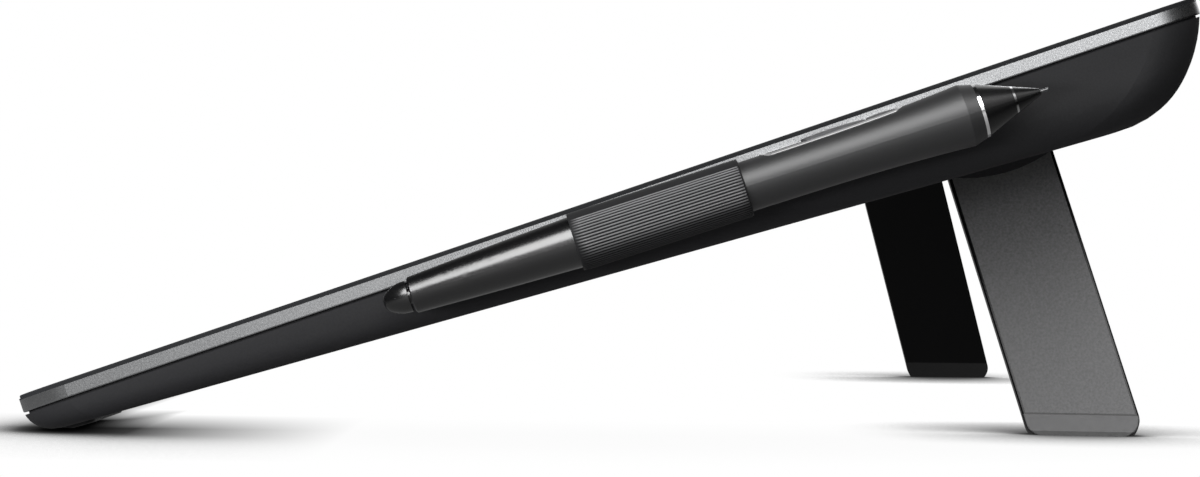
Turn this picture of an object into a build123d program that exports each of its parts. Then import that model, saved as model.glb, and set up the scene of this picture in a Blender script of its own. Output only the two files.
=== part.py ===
from build123d import *
from math import atan2, cos, degrees, radians, sin, sqrt, tan
import os

# Pen display with a screen, standing on its fold-out legs, with its pen in the elastic loop.
# Every piece is drawn in the tablet's own flat frame: X to the user's right, Y from the front
# edge to the rear, Z up out of the drawing surface, which is Z = 0. One location then tilts
# the whole tablet onto its legs and front feet. Lengths are millimetres, angles are degrees.

# Tablet body
WIDTH = 422.0
DEPTH = 286.2
CORNER_R = 13.0            # plan corners of the body
FRONT_T = 9.7              # drawing surface to underside, at the front edge
REAR_T = 25.3              # the same at the rear edge, before the rear is rounded
PANEL_T = 0.75             # cover glass over the whole top
PANEL_INSET = 0.3          # glass edge inside the frame's outline
PANEL_EDGE_R = 0.35
FRAME_T = 3.35             # metal band round the side
FRAME_EDGE_R = 0.4         # softened lower edge of the metal band
SEAM_GAP = 0.55            # dark groove between the band and the rear cover
SEAM_DEPTH = 1.2           # how far the groove runs in
TONGUE_T = 0.8             # the cover's tongue behind the groove, up to the band
OVERRUN = 1.0              # every cut runs past its face by this much

# Rear cover shell
WALL = 2.2
FRONT_R = 6.5              # rounding under the front edge
SIDE_FRONT_R = 4.4         # rounding under the sides, near the front
SIDE_REAR_R = 9.0          # the same near the rear
REAR_LOW_R = 19.5          # rear end in profile: lower arc
REAR_HIGH_R = 34.0         # and the flatter arc above it
REAR_KNEE = 45.0           # angle where one arc takes over from the other
REAR_SET = 0.4             # cover set in from the band at the rear
LEAST_R = 0.5              # smallest rounding left inside a wall
CORNER_GROWTH_SHARE = 0.45  # how much the rear corners open out as the rear end rounds under
LEVEL_SHARES = (0, 0.006, 0.024, 0.058, 0.105, 0.18, 0.3, 0.46, 0.66, 0.86, 1.1)

# Screen stack inside the frame
SIDE_BEZEL = 35.0          # screen module in from the tablet's sides
FRONT_BEZEL = 36.9         # and from its front
REAR_BEZEL = 47.3          # and from its rear
MODULE_R = 2.0
MODULE_GAP = 0.4           # round the module in the frame's opening
DISPLAY_T = 2.2
BACKLIGHT_T = 2.6
SENSOR_T = 0.8
SHIELD_T = 0.4
SHIELD_LAP = 5.0           # the shield reaches past the module and is held against the frame

# Main board, its posts, the cable well and the socket
BOARD_W = 96.0
BOARD_D = 32.0
BOARD_GAP = 2.0            # board to the cable well
BOARD_T = 1.6
POST_R = 2.6
POST_INSET = 5.0
CHIP_W = 14.0
CHIP_T = 1.4
CHIP_SHARES = (-0.3, 0.0, 0.3)
WELL_W = 34.0              # cable well in the underside, open to the rear
WELL_L = 59.2              # blind end of the well from the rear edge
WELL_H = 10.6
WELL_WALL = 1.6
SOCKET_W = 24.0            # shell of the socket that the display cable plugs into
SOCKET_H = 8.0
SOCKET_L = 13.0
SOCKET_WALL = 1.0
SOCKET_DEEP = 9.0
SOCKET_LIFT = 2.4          # above the outside of the cover
SOCKET_FIT = 0.15
CONTACT_T = 0.3            # strip of contacts at the blind end of the socket

# Fold-out legs
LEG_W = 26.7               # along the hinge
LEG_T = 4.0
LEG_SPLAY = 17.1           # the open leg leans out past square by this angle
HINGE_X_SHARE = 0.673      # hinge out from the middle, as a share of half the width
HINGE_BACK = 61.55         # front end of the hinge from the rear edge
LEG_SINK = 0.1             # the folded leg lies this far inside the underside
LEG_EDGE_R = 0.5
FOOT_STRIP_H = 4.9         # rubber strip, measured straight up from the desk
FOOT_CORNER_R = 4.6
SKIN_RIM = 0.8             # rim of the leg plate that shows round the textured skin
SKIN_T = 0.6
SKIN_TOP = 3.2             # skin starts this far below the hinge
PIN_R = 1.0
PIN_SEAT = 3.0             # pin held in the cover at each end
RUN_FIT = 0.04             # radial clearance of what turns or slides in a bore
SEAT_FIT = 0.02            # radial clearance of what sits still in one
SIDE_FIT = 0.4             # leg to the ends of its pocket
POCKET_ROOM = 0.4          # over the folded leg
POCKET_WALL = 1.6
STOP_FIT = 0.06            # open leg to its stop
LIP_DROP = 2.6             # curved stop lip hangs this far below the underside
LIP_LENGTH = 7.0
SCOOP_R = 8.0              # finger scoop at the free end of the folded leg
DETENT_R = 1.1             # spring plunger that bears on the leg's root
DETENT_L = 3.2
DETENT_WALL = 1.3

# Rubber feet and screws
FOOT_W = 46.0
FOOT_SIDE = 21.0           # outer end of the front foot from the side
FOOT_FRONT = 3.7
FOOT_L = 9.4
FOOT_R = 3.0
FOOT_PROUD = 0.9
FOOT_SEAT = 0.8
FOOT_EDGE_R = 0.4
FOOT_CONTACT = 8.0         # from the front edge to the rear of the strip that meets the desk
PAD_W = 52.0
PAD_L = 12.0
PAD_BACK = 89.2            # front of the rear pad from the rear edge
PAD_INNER_X = 26.0
SCREW_R = 1.0
SCREW_HEAD_R = 1.9
SCREW_HEAD_T = 1.0
SCREW_SINK = 0.3           # head below the floor that it is let into
SCREW_FIT = 0.15
SCREW_BOSS_R = 3.0
SCREW_BITE = 1.4           # thread in the frame
SCREW_FRONT_Y = 8.4
SCREW_INWARD = 42.0        # rear screw in from the hinge
SCREW_LAG = 23.5           # and behind the hinge's front end
FRONT_SCREW_SHARES = (0.2, 0.8)

# Power button, its light and the lock slot in the rear face
BUTTON_W = 11.0
BUTTON_H = 3.0
BUTTON_SIDE = 43.0         # middle of the button in from the side
BUTTON_DROP = 8.8          # centre below the drawing surface
BUTTON_PROUD = 0.7
BUTTON_FIT = 0.15
BUTTON_TRAVEL = 0.5
BUTTON_L = 7.0             # stem, from its back to the band above the rear face
BUTTON_FLANGE = 0.8
BUTTON_FLANGE_T = 0.8
SWITCH_L = 3.0             # switch board behind the button
SWITCH_H = 6.0
LIGHT_W = 2.6
LIGHT_H = 1.4
LIGHT_STEP = 13.0
LOCK_SIDE = 61.0           # middle of the slot in from the side
LOCK_SLOT_W = 7.0
LOCK_SLOT_H = 3.0
LOCK_RIM = 1.6
LOCK_DEEP = 7.0
LOCK_FIT = 0.1

# Pen; positions along it run from the eraser's tip
PEN_STANDOFF = 9.0         # pen axis outboard of the side
PEN_TAIL_SHARE = 0.3087    # tail behind the front edge, as a share of the depth
PEN_TAIL_DROP = 7.1
PEN_DIP = 0.79             # the pen leans nose-down against the drawing surface
ERASER_R = 3.65
ERASER_L = 5.9
ERASER_GAP = 0.6
ERASER_DOME_SHARE = 0.29   # depth of the dome at seven tenths of its radius
ERASER_DOME_AT = 0.71
ERASER_STEM_R = 1.8
ERASER_STEM_L = 8.6
TAIL_R = 4.2
TAIL_BULGE = 0.05
TAIL_EDGE_R = 0.3
BARREL_R = 5.9
BARREL_LEAD = 0.2          # the barrel has swollen to its full radius this far before the loop
GRIP_START_R = 5.75
GRIP_WAIST_SHARE = 0.38    # stations of the grip, as shares of its length up to the kink
GRIP_WAIST_R = 5.85
GRIP_SWELL_SHARE = 0.8
GRIP_SWELL_R = 6.5
GRIP_KINK = 136.9
GRIP_KINK_R = 7.15
GRIP_LIP_R = 0.85          # the grip falls by this much from its kink to the ring
GRIP_LIP_L = 3.05
RING_T = 0.7
RING_R = 6.3
CONE_BASE_R = 6.15
CONE_L = 13.7
CONE_TIP_R = 0.8
CONE_RING_STEP = 7.4       # small ring from the base of the cone
CONE_RING_T = 0.5
CONE_RING_DEEP = 0.5
SLEEVE_R = 4.6             # inner tube that the grip is moulded over
TUBE_BORE_R = 3.3
CORE_START = 16.0
SPIGOT_L = 4.2             # the cone plugs into the tube this far, up to the core
NIB_R = 0.45
NIB_L = 28.4
NIB_SHOWN = 2.2
NIB_TRAVEL = 0.5
ERASER_TRAVEL = 0.5

# Two-way side switch of the pen
TRIM_START_SHARE = 0.1
TRIM_END_SHARE = 0.757
TRIM_W = 5.4
TRIM_RIM = 0.8
TRIM_RAISE = 0.12
TRIM_DEEP = 0.7
SWITCH_START_SHARE = 0.283
SWITCH_SPLIT_SHARE = 0.582
SWITCH_FIT = 0.4
SWITCH_RAISE = 0.45
SWITCH_CROWN = 0.3         # extra height at the two lobes' middles
SWITCH_GROOVE_R = 0.5
SWITCH_FLOOR_R = 4.3       # underside of the cap from the pen's axis
TRUNNION_R = 0.45
TRUNNION_L = 0.45
TRUNNION_AXIS_R = 3.9
PIVOT_L = 2.0              # block under the cap that carries its pivots
PIVOT_BASE_R = 3.4

# Spare nibs and the ring that pulls a worn nib, clipped into the left pocket's roof
SPARE_COUNT = 3
SPARE_STEP = 3.6
PULLER_STEP = 24.0         # puller in from the inner end of the nibs
PULLER_R = 5.0
PULLER_WIRE = 1.2
STORE_H = 1.3

# Elastic pen loop
LOOP_START_SHARE = 0.3287  # tail end of the loop, as a share of the pen up to its kink
LOOP_L = 40.0
LOOP_T = 0.7
LOOP_FIT = 0.08            # the pen slides through the stretched loop
TAB_T = 2.0
TAB_REACH = 5.2            # tab inside the side of the tablet
BEAD_R = 1.5
SLOT_FIT = 0.3
ANCHOR_WALL = 1.2
ANCHOR_GAP = 0.4

STAND_TILT = 19.5          # drawing surface against the desk
END_ROUND_SHARE = 0.49     # rounded ends of slots, just short of half their width

WEDGE = degrees(atan2(REAR_T - FRONT_T, DEPTH))
FRAME_BOTTOM = -PANEL_T - FRAME_T
RIM_Z = FRAME_BOTTOM - SEAM_GAP
HALF_W = WIDTH / 2
MODULE_W = WIDTH - 2 * SIDE_BEZEL
MODULE_D = DEPTH - FRONT_BEZEL - REAR_BEZEL
WELL_FRONT = DEPTH - WELL_L
BOARD_FRONT = WELL_FRONT - BOARD_GAP - BOARD_D
HINGE_X = HALF_W * HINGE_X_SHARE
HINGE_Y = DEPTH - HINGE_BACK
FOOT_END_X = HALF_W - FOOT_SIDE
PAD_FRONT = DEPTH - PAD_BACK
SCREW_REAR_X = HINGE_X - SCREW_INWARD
SCREW_REAR_Y = HINGE_Y + SCREW_LAG
SPARE_X = -SCREW_REAR_X
PULLER_X = SPARE_X + PULLER_STEP
UNDER = Location((0, 0, -FRONT_T), (-WEDGE, 0, 0))
FROM_BASE = (Align.CENTER, Align.CENTER, Align.MIN)


# Small helpers

def under_z(y):
    """Height of the flat underside at a distance from the front edge."""
    return -FRONT_T - (REAR_T - FRONT_T) * y / DEPTH


def to_under(y, z):
    """A point of the flat frame, as distance along the underside and height above it."""
    lift = z + FRONT_T
    turn = radians(WEDGE)
    return y * cos(turn) - lift * sin(turn), y * sin(turn) + lift * cos(turn)


def block(x0, x1, y0, y1, z0, z1):
    """Box between two corners."""
    box = Box(abs(x1 - x0), abs(y1 - y0), abs(z1 - z0))
    return Pos((x0 + x1) / 2, (y0 + y1) / 2, (z0 + z1) / 2) * box


def plate(inset, z0, z1):
    """Slab with the body's rounded outline, set in all round."""
    outline = RectangleRounded(WIDTH - 2 * inset, DEPTH - 2 * inset, CORNER_R - inset)
    return extrude(Pos(0, DEPTH / 2, z0) * outline, z1 - z0)


def module_block(margin, z0, z1):
    """Slab with the screen module's rounded outline, grown all round."""
    outline = RectangleRounded(MODULE_W + 2 * margin, MODULE_D + 2 * margin, MODULE_R + margin)
    return extrude(Pos(0, FRONT_BEZEL + MODULE_D / 2, z0) * outline, z1 - z0)


def tube_along_y(radius, y0, y1):
    """Cylinder along Y between two stations."""
    return Pos(0, y0, 0) * Rot(-90, 0, 0) * Cylinder(radius, y1 - y0, align=FROM_BASE)


def pill_along_y(width, height, y0, y1):
    """Prism along Y whose section is a lying slot."""
    section = Pos(0, y0, 0) * Rot(90, 0, 0) * RectangleRounded(width, height, height * END_ROUND_SHARE)
    return extrude(section, -(y1 - y0))


def turned(points):
    """Solid of revolution about Z from (radius, station) points."""
    return revolve(Plane.XZ * make_face(Polyline(*points, close=True)), Axis.Z)


def both_sides(piece):
    return piece, mirror(piece, Plane.YZ)


# Rear cover outline

def round_inset(height, radius, wall):
    """How far a rounded lower edge stands in at a height, for a shell that is set in by wall."""
    inner = max(radius - wall, LEAST_R)
    rise = height - wall
    if rise >= inner:
        return wall
    return wall + inner - sqrt(inner ** 2 - (inner - rise) ** 2)


def rear_reach(height, wall):
    """Profile of the rear end: distance behind the centre of the lower arc."""
    low, high = REAR_LOW_R - wall, REAR_HIGH_R - wall
    knee = radians(REAR_KNEE)
    if height <= REAR_LOW_R - low * cos(knee):
        return sqrt(low ** 2 - (REAR_LOW_R - height) ** 2)
    centre_y = (REAR_LOW_R - REAR_HIGH_R) * sin(knee)
    centre_h = REAR_LOW_R + (REAR_HIGH_R - REAR_LOW_R) * cos(knee)
    return centre_y + sqrt(high ** 2 - (centre_h - height) ** 2)


REAR_SEAM_Y, REAR_SEAM_H = to_under(DEPTH - REAR_SET, RIM_Z)
REAR_CENTRE_Y = REAR_SEAM_Y - rear_reach(REAR_SEAM_H, 0)


def cover_section(height, wall):
    """Outline of the cover at a height above its underside."""
    front = -height * tan(radians(WEDGE)) + round_inset(height, FRONT_R, wall)
    rear = REAR_CENTRE_Y + rear_reach(height, wall)
    front_x = HALF_W - round_inset(height, SIDE_FRONT_R, wall)
    rear_x = HALF_W - round_inset(height, SIDE_REAR_R, wall)
    corners = (-front_x, front), (front_x, front), (rear_x, rear), (-rear_x, rear)
    face = make_face(Polyline(*corners, close=True))
    rear_r = CORNER_R - wall + CORNER_GROWTH_SHARE * max(REAR_SEAM_Y - rear, 0)
    face = fillet(face.vertices().sort_by(Axis.Y)[:2], CORNER_R - wall)
    face = fillet(face.vertices().sort_by(Axis.Y)[-2:], rear_r)
    return UNDER * Pos(0, 0, height) * face


def cover_form(wall):
    """Solid form of the cover below the seam, set in by wall."""
    levels = [wall + share * REAR_T for share in LEVEL_SHARES]
    form = loft([cover_section(level, wall) for level in levels])
    return form - block(-WIDTH, WIDTH, -DEPTH, 2 * DEPTH, RIM_Z, RIM_Z + 2 * REAR_T)


# Places that several pieces share

HINGE_ALONG, _ = to_under(HINGE_Y, under_z(HINGE_Y))
HINGE_H = LEG_SINK + LEG_T / 2
HINGE = UNDER * Pos(HINGE_X, HINGE_ALONG, HINGE_H)
LEG_OPEN = HINGE * Rot(0, -LEG_SPLAY, 0)
POCKET_FRONT = HINGE_ALONG - SIDE_FIT
POCKET_REAR = HINGE_ALONG + LEG_W + SIDE_FIT
POCKET_H = LEG_SINK + LEG_T + POCKET_ROOM
END_WALL = PIN_SEAT + SIDE_FIT
BOARD_LIFT = SOCKET_LIFT + SOCKET_H
LOOP_START = GRIP_KINK * LOOP_START_SHARE
LOOP_END = LOOP_START + LOOP_L
BARREL_FULL = LOOP_START - BARREL_LEAD

# Stations of the pen that follow from its grip
GRIP_START = LOOP_END
GRIP_L = GRIP_KINK - GRIP_START
RING_START = GRIP_KINK + GRIP_LIP_L
CONE_START = RING_START + RING_T
CONE_END = CONE_START + CONE_L
CONE_RING_AT = CONE_START + CONE_RING_STEP
SPIGOT_START = RING_START - SPIGOT_L
NIB_END = CONE_END + NIB_SHOWN
NIB_START = NIB_END - NIB_L
TRIM_START = GRIP_START + GRIP_L * TRIM_START_SHARE
TRIM_END = GRIP_START + GRIP_L * TRIM_END_SHARE
SWITCH_START = GRIP_START + GRIP_L * SWITCH_START_SHARE
SWITCH_SPLIT = GRIP_START + GRIP_L * SWITCH_SPLIT_SHARE

# Floor: the front feet touch along one line, and the tablet stands on the plane through it
CONTACT_Z = under_z(FOOT_CONTACT) - FOOT_PROUD
FLOOR_LIFT = -FOOT_CONTACT * sin(radians(STAND_TILT)) - CONTACT_Z * cos(radians(STAND_TILT))
STAND = Pos(0, 0, FLOOR_LIFT) * Rot(STAND_TILT, 0, 0)
LEG_DROP_SHARE = cos(radians(STAND_TILT - WEDGE)) * cos(radians(LEG_SPLAY))


def leg_reach(along):
    """Length of the open leg from its hinge to the desk, at a place along the hinge."""
    return (STAND * HINGE * Pos(0, along, 0)).position.Z / LEG_DROP_SHARE


LEG_L = leg_reach(LEG_W)
POCKET_INNER_X = HINGE_X - LEG_L - LEG_T


def above_desk(height):
    """Everything from a height over the desk upwards, in the flat frame."""
    return STAND.inverse() * block(-WIDTH, WIDTH, -DEPTH, 2 * DEPTH, height, 2 * DEPTH)


# Screen and frame

def screw_places():
    """Screw axes in plan, with the depth of the floor that each head is let into."""
    inner = FOOT_END_X - FOOT_W
    front = [(inner + share * FOOT_W, SCREW_FRONT_Y, FOOT_SEAT) for share in FRONT_SCREW_SHARES]
    rear = [(SCREW_REAR_X, SCREW_REAR_Y, POCKET_H)]
    return [(side * x, y, floor) for x, y, floor in front + rear for side in (1, -1)]


def front_panel():
    panel = plate(PANEL_INSET, -PANEL_T, 0)
    return fillet(panel.faces().sort_by(Axis.Z)[-1].edges(), PANEL_EDGE_R)


def front_frame():
    ring = plate(0, FRAME_BOTTOM, -PANEL_T)
    ring = fillet(ring.faces().sort_by(Axis.Z)[0].edges(), FRAME_EDGE_R)
    ring -= module_block(MODULE_GAP, FRAME_BOTTOM - OVERRUN, OVERRUN)
    for x, y, _ in screw_places():
        ring -= Pos(x, y, FRAME_BOTTOM - OVERRUN) * Cylinder(SCREW_R + SEAT_FIT, SCREW_BITE + OVERRUN,
                                                             align=FROM_BASE)
    return ring


def screen_stack():
    """Display, backlight and pen sensor one under the other below the glass, then their shield."""
    layers = {"display_panel": DISPLAY_T, "backlight_unit": BACKLIGHT_T, "sensor_board": SENSOR_T}
    pieces, top = {}, -PANEL_T
    for name, thickness in layers.items():
        pieces[name] = module_block(0, top - thickness, top)
        top -= thickness
    rim = module_block(SHIELD_LAP, top, FRAME_BOTTOM)
    rim -= module_block(SHIELD_LAP - SHIELD_T, top - OVERRUN, FRAME_BOTTOM + OVERRUN)
    pieces["shield_plate"] = module_block(SHIELD_LAP, top - SHIELD_T, top) + rim
    return pieces


# Electronics

def board_corners():
    half = BOARD_W / 2 - POST_INSET
    ends = BOARD_FRONT + POST_INSET, BOARD_FRONT + BOARD_D - POST_INSET
    return [(x, y) for x in (-half, half) for y in ends]


def main_board():
    front, rear = BOARD_FRONT, BOARD_FRONT + BOARD_D
    board = block(-BOARD_W / 2, BOARD_W / 2, front, rear, BOARD_LIFT, BOARD_LIFT + BOARD_T)
    for share in CHIP_SHARES:
        x, y = share * BOARD_W, front + BOARD_D / 3
        board += block(x - CHIP_W / 2, x + CHIP_W / 2, y - CHIP_W / 2, y + CHIP_W / 2,
                       BOARD_LIFT - CHIP_T, BOARD_LIFT)
    return UNDER * board


def socket_form(margin):
    """Outside of the cable socket, grown by a clearance."""
    return block(-SOCKET_W / 2 - margin, SOCKET_W / 2 + margin, WELL_FRONT - SOCKET_L, WELL_FRONT,
                 SOCKET_LIFT - margin, BOARD_LIFT + margin)


def cable_port():
    inside = SOCKET_W / 2 - SOCKET_WALL
    mouth = block(-inside, inside, WELL_FRONT - SOCKET_DEEP, WELL_FRONT + OVERRUN,
                  SOCKET_LIFT + SOCKET_WALL, BOARD_LIFT - SOCKET_WALL)
    return UNDER * (socket_form(0) - mouth)


def port_contacts():
    half = SOCKET_W / 2 - 3 * SOCKET_WALL
    back = WELL_FRONT - SOCKET_DEEP
    middle = SOCKET_LIFT + SOCKET_H / 2
    return UNDER * block(-half, half, back, back + CONTACT_T, middle - SOCKET_WALL, middle + SOCKET_WALL)


# Pen loop's frame: Z' runs along the pen from tail to nib, -Y' points up out of the drawing surface

PEN_DIRECTION = (0, cos(radians(PEN_DIP)), -sin(radians(PEN_DIP)))
PEN_PLANE = Plane(origin=(HALF_W + PEN_STANDOFF, DEPTH * PEN_TAIL_SHARE, -PEN_TAIL_DROP),
                  x_dir=(1, 0, 0), z_dir=PEN_DIRECTION)
PEN = PEN_PLANE.location
LOOP_BORE_R = BARREL_R + LOOP_FIT
BEAD_X = -PEN_STANDOFF - TAB_REACH
WALL_X = -PEN_STANDOFF - WALL


def pen_loop():
    loop = Pos(0, 0, LOOP_START) * Cylinder(LOOP_BORE_R + LOOP_T, LOOP_L, align=FROM_BASE)
    loop += block(BEAD_X, -LOOP_BORE_R, -TAB_T / 2, TAB_T / 2, LOOP_START, LOOP_END)
    loop += Pos(BEAD_X, 0, LOOP_START) * Cylinder(BEAD_R, LOOP_L, align=FROM_BASE)
    loop -= Pos(0, 0, LOOP_START - OVERRUN) * Cylinder(LOOP_BORE_R, LOOP_L + 2 * OVERRUN, align=FROM_BASE)
    return PEN * loop


def loop_slot():
    """Slot in the side wall that the loop's tab passes through."""
    half = TAB_T / 2 + SLOT_FIT
    return PEN * block(BEAD_X, -PEN_STANDOFF + OVERRUN, -half, half, LOOP_START - SLOT_FIT,
                       LOOP_END + SLOT_FIT)


def pen_loop_anchor():
    """Channel for the tab's bead, held up against the frame."""
    outer = BEAD_R + SLOT_FIT + ANCHOR_WALL
    start, end = LOOP_START - ANCHOR_WALL, LOOP_END + ANCHOR_WALL
    bar = block(BEAD_X - outer, WALL_X - ANCHOR_GAP, -2 * outer, outer, start, end)
    bore = Pos(BEAD_X, 0, LOOP_START - SLOT_FIT) * Cylinder(BEAD_R + SLOT_FIT, LOOP_L + 2 * SLOT_FIT,
                                                            align=FROM_BASE)
    return PEN * (bar - bore) - loop_slot() - plate(0, FRAME_BOTTOM, FRAME_BOTTOM + REAR_T)


# Rear face fittings

REAR_FACE_Y = DEPTH - REAR_SET
BUTTON_X = HALF_W - BUTTON_SIDE
BUTTON_PLACE = Pos(BUTTON_X, 0, -BUTTON_DROP)
LIGHT_PLACE = Pos(BUTTON_X - LIGHT_STEP, 0, -BUTTON_DROP)
LOCK_PLACE = Pos(LOCK_SIDE - HALF_W, 0, -BUTTON_DROP)
BUTTON_BACK_Y = REAR_FACE_Y - BUTTON_L
SWITCH_FACE_Y = BUTTON_BACK_Y - BUTTON_TRAVEL - BUTTON_FIT


def power_button(skin):
    """Button cut to the rear face's own curve, standing a little proud of it."""
    stem = pill_along_y(BUTTON_W, BUTTON_H, BUTTON_BACK_Y, REAR_FACE_Y + REAR_T)
    flange = pill_along_y(BUTTON_W + 2 * BUTTON_FLANGE, BUTTON_H + 2 * BUTTON_FLANGE, BUTTON_BACK_Y,
                          BUTTON_BACK_Y + BUTTON_FLANGE_T)
    return BUTTON_PLACE * (stem + flange) & skin


def status_light(form):
    return LIGHT_PLACE * pill_along_y(LIGHT_W, LIGHT_H, SWITCH_FACE_Y, REAR_FACE_Y + REAR_T) & form


def switch_block(z0, z1):
    """Block behind the power button and the status light."""
    x0, x1 = BUTTON_X - LIGHT_STEP - LIGHT_W, BUTTON_X + BUTTON_W / 2
    return block(x0, x1, SWITCH_FACE_Y - SWITCH_L, SWITCH_FACE_Y, z0, z1)


def power_switch():
    return switch_block(-BUTTON_DROP - SWITCH_H / 2, -BUTTON_DROP + SWITCH_H / 2)


def lock_slot_insert(form):
    outer = pill_along_y(LOCK_SLOT_W + 2 * LOCK_RIM, LOCK_SLOT_H + 2 * LOCK_RIM, REAR_FACE_Y - LOCK_DEEP,
                         REAR_FACE_Y + REAR_T)
    slot = pill_along_y(LOCK_SLOT_W, LOCK_SLOT_H, REAR_FACE_Y - 2 * LOCK_DEEP, REAR_FACE_Y + 2 * REAR_T)
    return LOCK_PLACE * (outer - slot) & form


# Rear cover

def foot_outline(margin, z0, z1):
    """Front foot's rounded block in the underside's frame."""
    outline = RectangleRounded(FOOT_W + 2 * margin, FOOT_L + 2 * margin, FOOT_R + margin)
    return extrude(Pos(FOOT_END_X - FOOT_W / 2, FOOT_FRONT + FOOT_L / 2, z0) * outline, z1 - z0)


def pad_outline(margin, z0, z1):
    """Rear pad's rounded block in the underside's frame."""
    outline = RectangleRounded(PAD_W + 2 * margin, PAD_L + 2 * margin, FOOT_R + margin)
    return extrude(Pos(PAD_INNER_X + PAD_W / 2, PAD_FRONT + PAD_L / 2, z0) * outline, z1 - z0)


def pocket_middle():
    return (POCKET_FRONT + POCKET_REAR) / 2


def pocket_walls():
    """Material round one leg pocket, with the boss for its spring plunger."""
    tub = block(POCKET_INNER_X - POCKET_WALL, HINGE_X + LEG_T + 2 * POCKET_WALL, POCKET_FRONT - END_WALL,
                POCKET_REAR + END_WALL, 0, POCKET_H + POCKET_WALL)
    tub += Pos(POCKET_INNER_X, pocket_middle(), 0) * Cylinder(SCOOP_R + POCKET_WALL,
                                                              POCKET_H + POCKET_WALL, align=FROM_BASE)
    tub += Pos(HINGE_X, pocket_middle(), POCKET_H) * Cylinder(DETENT_R + DETENT_WALL,
                                                              DETENT_L + DETENT_WALL, align=FROM_BASE)
    return tub


def pocket_room():
    """Space of one leg pocket, closed outboard by the sloping stop face."""
    room = block(POCKET_INNER_X, HINGE_X + 2 * LEG_T, POCKET_FRONT, POCKET_REAR, -2 * LIP_DROP, POCKET_H)
    stop = LEG_T / 2 + STOP_FIT
    room -= UNDER.inverse() * LEG_OPEN * block(stop, WIDTH, -LEG_W, 2 * LEG_W, -LEG_L, LEG_L)
    room += Pos(POCKET_INNER_X, pocket_middle(), -OVERRUN) * Cylinder(SCOOP_R, POCKET_H + OVERRUN,
                                                                      align=FROM_BASE)
    plunger = Cylinder(DETENT_R + SEAT_FIT, DETENT_L + OVERRUN, align=FROM_BASE)
    room += Pos(HINGE_X, pocket_middle(), POCKET_H - OVERRUN) * plunger
    return room


def pin_bore():
    ends = PIN_SEAT + SIDE_FIT / 2
    return Pos(HINGE_X, 0, HINGE_H) * tube_along_y(PIN_R + SEAT_FIT, HINGE_ALONG - ends,
                                                   HINGE_ALONG + LEG_W + ends)


def stop_lip():
    """Curved lip over the root of an open leg: a lens in side view, rounded off outboard."""
    start, end = HINGE_ALONG, HINGE_ALONG + LEG_W
    middle = (start + end) / 2
    arc = ThreePointArc((start, 0), (middle, -LIP_DROP), (end, 0))
    lens = make_face(arc + Line((end, 0), (start, 0)))
    section = Plane.YZ * lens
    bar = extrude(Pos(HINGE_X, 0, 0) * section, LIP_LENGTH)
    nose = revolve(Pos(HINGE_X + LIP_LENGTH, 0, 0) * section,
                   Axis((HINGE_X + LIP_LENGTH, 0, 0), (0, -1, 0)), 90)
    root = block(HINGE_X, HINGE_X + LIP_LENGTH, start, end, 0, POCKET_WALL)
    return bar + nose + root


def rear_cover(form, hollow):
    shell = form - hollow
    tongue = plate(SEAM_DEPTH, RIM_Z - OVERRUN, FRAME_BOTTOM)
    tongue -= plate(SEAM_DEPTH + TONGUE_T, RIM_Z - 2 * OVERRUN, FRAME_BOTTOM + OVERRUN)
    solid = shell + tongue

    # Material carried inside the shell
    inside = block(-WELL_W / 2 - WELL_WALL, WELL_W / 2 + WELL_WALL, WELL_FRONT - WELL_WALL, 2 * DEPTH, 0,
                   WELL_H + WELL_WALL)
    for x, y in board_corners():
        inside += Pos(x, y, 0) * Cylinder(POST_R, BOARD_LIFT, align=FROM_BASE)
    for walls in both_sides(pocket_walls()):
        inside += walls
    inside += store_roof()
    inside = UNDER * inside
    inside += switch_block(-REAR_T, -BUTTON_DROP - SWITCH_H / 2)
    solid += inside & form
    for x, y, _ in screw_places():
        boss_foot = under_z(y) + WALL / 2
        boss = Cylinder(SCREW_BOSS_R, FRAME_BOTTOM - boss_foot, align=FROM_BASE)
        solid += Pos(x, y, boss_foot) * boss
    for lip in both_sides(stop_lip()):
        solid += UNDER * lip

    # Openings, pockets and seats
    well = block(-WELL_W / 2, WELL_W / 2, WELL_FRONT, 2 * DEPTH, -OVERRUN, WELL_H)
    cuts = [well, socket_form(SOCKET_FIT), store_room()]
    for piece in (pocket_room(), pin_bore(), foot_outline(SEAT_FIT, -OVERRUN, FOOT_SEAT),
                  pad_outline(SEAT_FIT, -OVERRUN, FOOT_SEAT)):
        cuts += both_sides(piece)
    for cut in cuts:
        solid -= UNDER * cut
    for x, y, floor in screw_places():
        base = under_z(y) + floor + SCREW_SINK
        solid -= Pos(x, y, base - REAR_T) * Cylinder(SCREW_R + SCREW_FIT, 2 * REAR_T, align=FROM_BASE)
        head = Cylinder(SCREW_HEAD_R + SCREW_FIT, SCREW_SINK + SCREW_HEAD_T + OVERRUN, align=FROM_BASE)
        solid -= Pos(x, y, base - SCREW_SINK - OVERRUN) * head
    solid -= loop_slot()
    through = REAR_FACE_Y - 2 * LOCK_DEEP, REAR_FACE_Y + REAR_T
    solid -= BUTTON_PLACE * pill_along_y(BUTTON_W + 2 * BUTTON_FIT, BUTTON_H + 2 * BUTTON_FIT, *through)
    solid -= LIGHT_PLACE * pill_along_y(LIGHT_W + 2 * SEAT_FIT, LIGHT_H + 2 * SEAT_FIT, *through)
    solid -= LOCK_PLACE * pill_along_y(LOCK_SLOT_W + 2 * LOCK_RIM + 2 * LOCK_FIT,
                                       LOCK_SLOT_H + 2 * LOCK_RIM + 2 * LOCK_FIT, *through)
    return solid


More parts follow.
